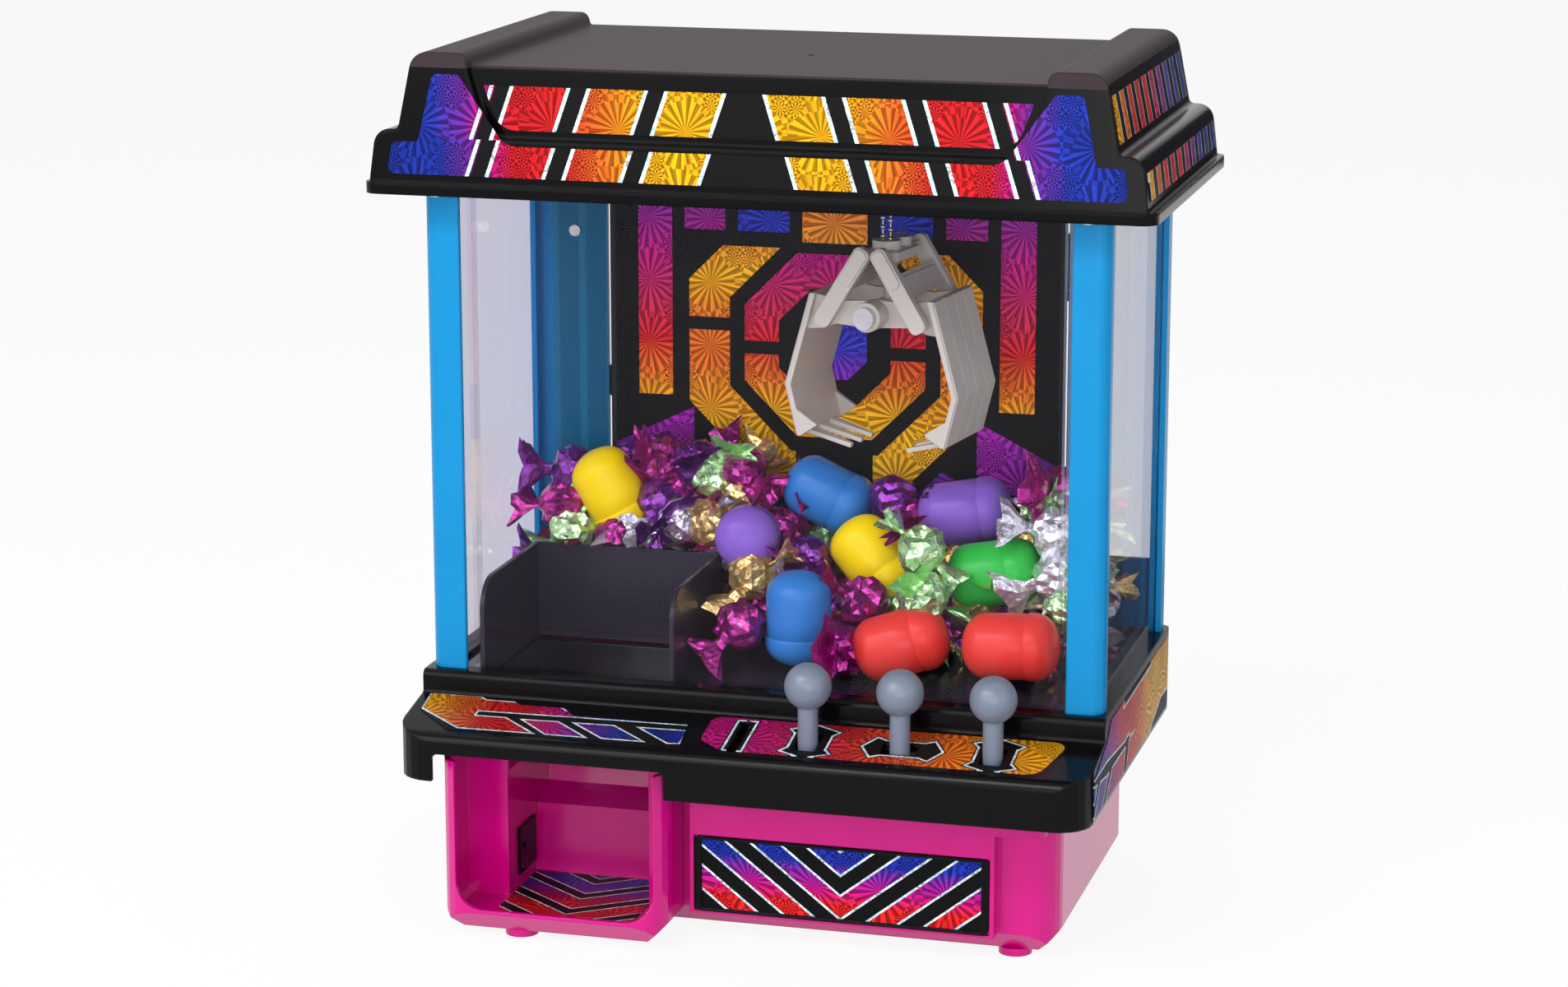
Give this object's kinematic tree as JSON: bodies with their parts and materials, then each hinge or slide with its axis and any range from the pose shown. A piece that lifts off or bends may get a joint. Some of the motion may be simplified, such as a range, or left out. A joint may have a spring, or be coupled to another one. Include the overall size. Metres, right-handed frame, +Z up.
{
  "type": "claw crane machine",
  "caption": "Tabletop claw crane game with a glazed cabinet, gantry crane and gripping claw, joystick deck, prize chute and rear loading door.",
  "frame": {"origin": "centre of the bounding box's footprint, on the plane that the feet stand on", "axes": "+X to the player's right, +Y from the player to the machine's rear, +Z up"},
  "size_m": [0.339, 0.2064, 0.378],
  "materials": {
    "magenta_plastic": "satin moulded plastic",
    "black_plastic": "high gloss",
    "black_satin": "satin",
    "blue_plastic": "satin",
    "clear_sheet": "clear",
    "printed_film": "prismatic foil print",
    "floor_plastic": "glossy",
    "claw_plastic": "satin silver grey",
    "crane_plastic": "satin",
    "motor_metal": "satin",
    "steel": "plated",
    "stick_plastic": "satin blue grey",
    "cell_wrap": "wrapped",
    "board": "laminate",
    "capsule_plastic": "satin, several colours",
    "foil": "crinkled coloured foil"
  },
  "bodies": {
    "root": {"base_tub": "magenta_plastic", "base_plate": "magenta_plastic", "feet": "magenta_plastic", "prize_slide": "magenta_plastic", "sensor_plate": "black_satin", "tray_sticker": "printed_film", "panel_frame": "black_plastic", "panel_sticker": "printed_film", "deck": "black_plastic", "control_sticker": "printed_film", "deck_sticker": "printed_film", "skirt_stickers": "printed_film", "coin_chute": "crane_plastic", "playfield_floor": "floor_plastic", "chute_hopper": "black_plastic", "pillar_front_left": "blue_plastic", "pillar_front_right": "blue_plastic", "pillar_rear_left": "blue_plastic", "pillar_rear_right": "blue_plastic", "front_window": "clear_sheet", "left_window": "clear_sheet", "right_window": "clear_sheet", "door_catch": "black_satin", "roof_shell": "black_plastic", "roof_ceiling": "black_plastic", "roof_front_sticker": "printed_film", "roof_side_stickers": "printed_film", "gantry_rails": "steel", "stick_brackets": "black_satin", "batteries": "cell_wrap", "circuit_board": "board", "speaker": "black_satin", "screws": "steel", "prize_capsules": "capsule_plastic", "wrapped_sweets": "foil"},
    "bridge": {"bridge_frame": "crane_plastic", "bridge_motor": "motor_metal"},
    "bridge_wheels": {"bridge_axle": "steel"},
    "trolley": {"trolley_frame": "crane_plastic", "trolley_motor": "motor_metal", "hoist_motor": "motor_metal"},
    "trolley_wheels": {"trolley_axle": "steel"},
    "drum": {"hoist_drum": "steel"},
    "claw_head": {"claw_hub": "claw_plastic", "lift_chain": "steel"},
    "grip": {"grip_block": "claw_plastic", "claw_bolt": "steel", "grip_chain": "steel"},
    "jaw_l": {"jaw_left": "claw_plastic"},
    "jaw_r": {"jaw_right": "claw_plastic"},
    "link_l": {"link_left": "claw_plastic"},
    "link_r": {"link_right": "claw_plastic"},
    "joystick_l": {"stick_left": "stick_plastic"},
    "joystick_m": {"stick_middle": "stick_plastic"},
    "joystick_r": {"stick_right": "stick_plastic"},
    "rear_door": {"back_door": "black_plastic", "back_art": "printed_film"},
    "drawer": {"coin_drawer": "magenta_plastic"},
    "hatch": {"battery_door": "magenta_plastic"},
    "switch": {"power_switch": "black_satin"}
  },
  "joints": [
    {"name": "bridge_travel", "type": "slide", "parent": "root", "child": "bridge", "axis": [1, 0, 0], "range_m": [-0.1, 0.028]},
    {"name": "bridge_wheel_spin", "type": "hinge", "parent": "bridge", "child": "bridge_wheels", "pos_m": [0.063, 0, 0.3314], "axis": [0, 1, 0], "range_deg": [-1150, 325]},
    {"name": "trolley_travel", "type": "slide", "parent": "bridge", "child": "trolley", "axis": [0, 1, 0], "range_m": [-0.028, 0.015]},
    {"name": "trolley_wheel_spin", "type": "hinge", "parent": "trolley", "child": "trolley_wheels", "pos_m": [0.039, 0.028, 0.3382], "axis": [1, 0, 0], "range_deg": [-220, 405]},
    {"name": "hoist", "type": "slide", "parent": "trolley", "child": "claw_head", "axis": [0, 0, 1], "range_m": [-0.019, 0.01]},
    {"name": "drum_spin", "type": "hinge", "parent": "trolley", "child": "drum", "pos_m": [0.039, 0.01566, 0.3545], "axis": [1, 0, 0], "range_deg": [-80, 150]},
    {"name": "claw_grip", "type": "slide", "parent": "claw_head", "child": "grip", "axis": [0, 0, 1], "range_m": [-0.0101, 0.0023]},
    {"name": "jaw_left_pivot", "type": "hinge", "parent": "grip", "child": "jaw_l", "pos_m": [0.039, 0.013, 0.2635], "axis": [0.1564, 0.9877, 0], "range_deg": [-6.2, 26.2]},
    {"name": "jaw_right_pivot", "type": "hinge", "parent": "grip", "child": "jaw_r", "pos_m": [0.039, 0.013, 0.2635], "axis": [0.1564, 0.9877, 0], "range_deg": [-26.2, 6.2]},
    {"name": "link_left_pivot", "type": "hinge", "parent": "claw_head", "child": "link_l", "pos_m": [0.03456, 0.0137, 0.2889], "axis": [0.1564, 0.9877, 0], "range_deg": [-1.8, 0.6]},
    {"name": "link_right_pivot", "type": "hinge", "parent": "claw_head", "child": "link_r", "pos_m": [0.04344, 0.0123, 0.2889], "axis": [0.1564, 0.9877, 0], "range_deg": [-0.6, 1.8]},
    {"name": "joystick_left", "type": "hinge", "parent": "root", "child": "joystick_l", "pos_m": [0.0278, -0.08375, 0.084], "axis": [1, 0, 0], "range_deg": [-12, 12], "stiffness_Nm_per_rad": 0.05},
    {"name": "joystick_middle", "type": "hinge", "parent": "root", "child": "joystick_m", "pos_m": [0.0675, -0.08375, 0.084], "axis": [0, 1, 0], "range_deg": [-12, 12], "stiffness_Nm_per_rad": 0.05},
    {"name": "joystick_right", "type": "hinge", "parent": "root", "child": "joystick_r", "pos_m": [0.1072, -0.08375, 0.084], "axis": [1, 0, 0], "range_deg": [-12, 12], "stiffness_Nm_per_rad": 0.05},
    {"name": "rear_door_hinge", "type": "hinge", "parent": "root", "child": "rear_door", "pos_m": [0.1025, 0.07375, 0.212], "axis": [0, 0, -1], "range_deg": [0, 100]},
    {"name": "coin_drawer_slide", "type": "slide", "parent": "root", "child": "drawer", "axis": [0, 1, 0], "range_m": [0, 0.045]},
    {"name": "battery_door_hinge", "type": "hinge", "parent": "root", "child": "hatch", "pos_m": [0.079, 0.0895, 0.01355], "axis": [-1, 0, 0], "range_deg": [0, 90]},
    {"name": "power_switch_slide", "type": "slide", "parent": "root", "child": "switch", "axis": [1, 0, 0], "range_m": [-0.003, 0.003]}
  ],
  "couplings": [
    {"joint": "bridge_wheel_spin", "follows": "bridge_travel", "rad_per_m": 200},
    {"joint": "trolley_wheel_spin", "follows": "trolley_travel", "rad_per_m": -250},
    {"joint": "drum_spin", "follows": "hoist", "rad_per_m": -131.58},
    {"joint": "jaw_left_pivot", "follows": "claw_grip", "rad_per_m": -44.84},
    {"joint": "jaw_right_pivot", "follows": "claw_grip", "rad_per_m": 44.84},
    {"joint": "link_left_pivot", "follows": "claw_grip", "rad_per_m": 2.83},
    {"joint": "link_right_pivot", "follows": "claw_grip", "rad_per_m": -2.83}
  ]
}
